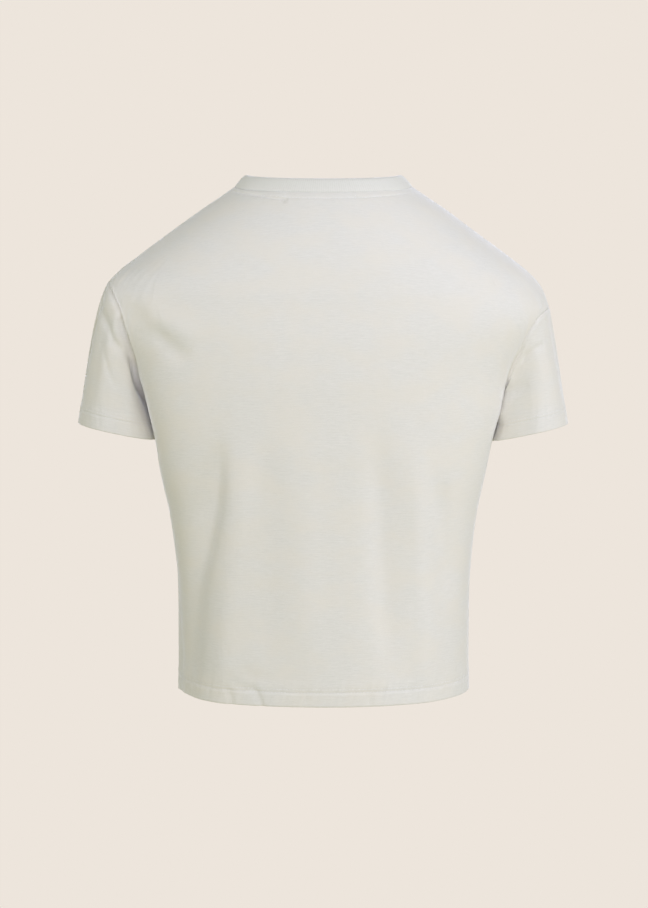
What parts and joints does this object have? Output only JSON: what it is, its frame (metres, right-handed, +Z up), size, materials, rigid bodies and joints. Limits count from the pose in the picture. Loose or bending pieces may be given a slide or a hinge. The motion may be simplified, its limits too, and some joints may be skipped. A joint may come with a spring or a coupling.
{
  "type": "crop top",
  "caption": "Boxy jersey crop top with drop shoulders, short sleeves, turned hems and a ribbed crew neckband, in its hollow worn form.",
  "frame": {"origin": "middle of the neck opening at the height of the side neck, where the shoulders on either side of it carry the garment", "axes": "+Z up; the front faces -Y and the back +Y; +X toward the wearer's left"},
  "size_m": [0.5055, 0.244, 0.5312],
  "materials": {
    "jersey": "matte off-white cotton jersey, faintly heathered",
    "rib_knit": "matte off-white one-by-one rib knit"
  },
  "bodies": {
    "root": {"front_panel": "jersey", "back_panel": "jersey", "sleeve_left": "jersey", "sleeve_right": "jersey", "neckband": "rib_knit"}
  },
  "joints": []
}
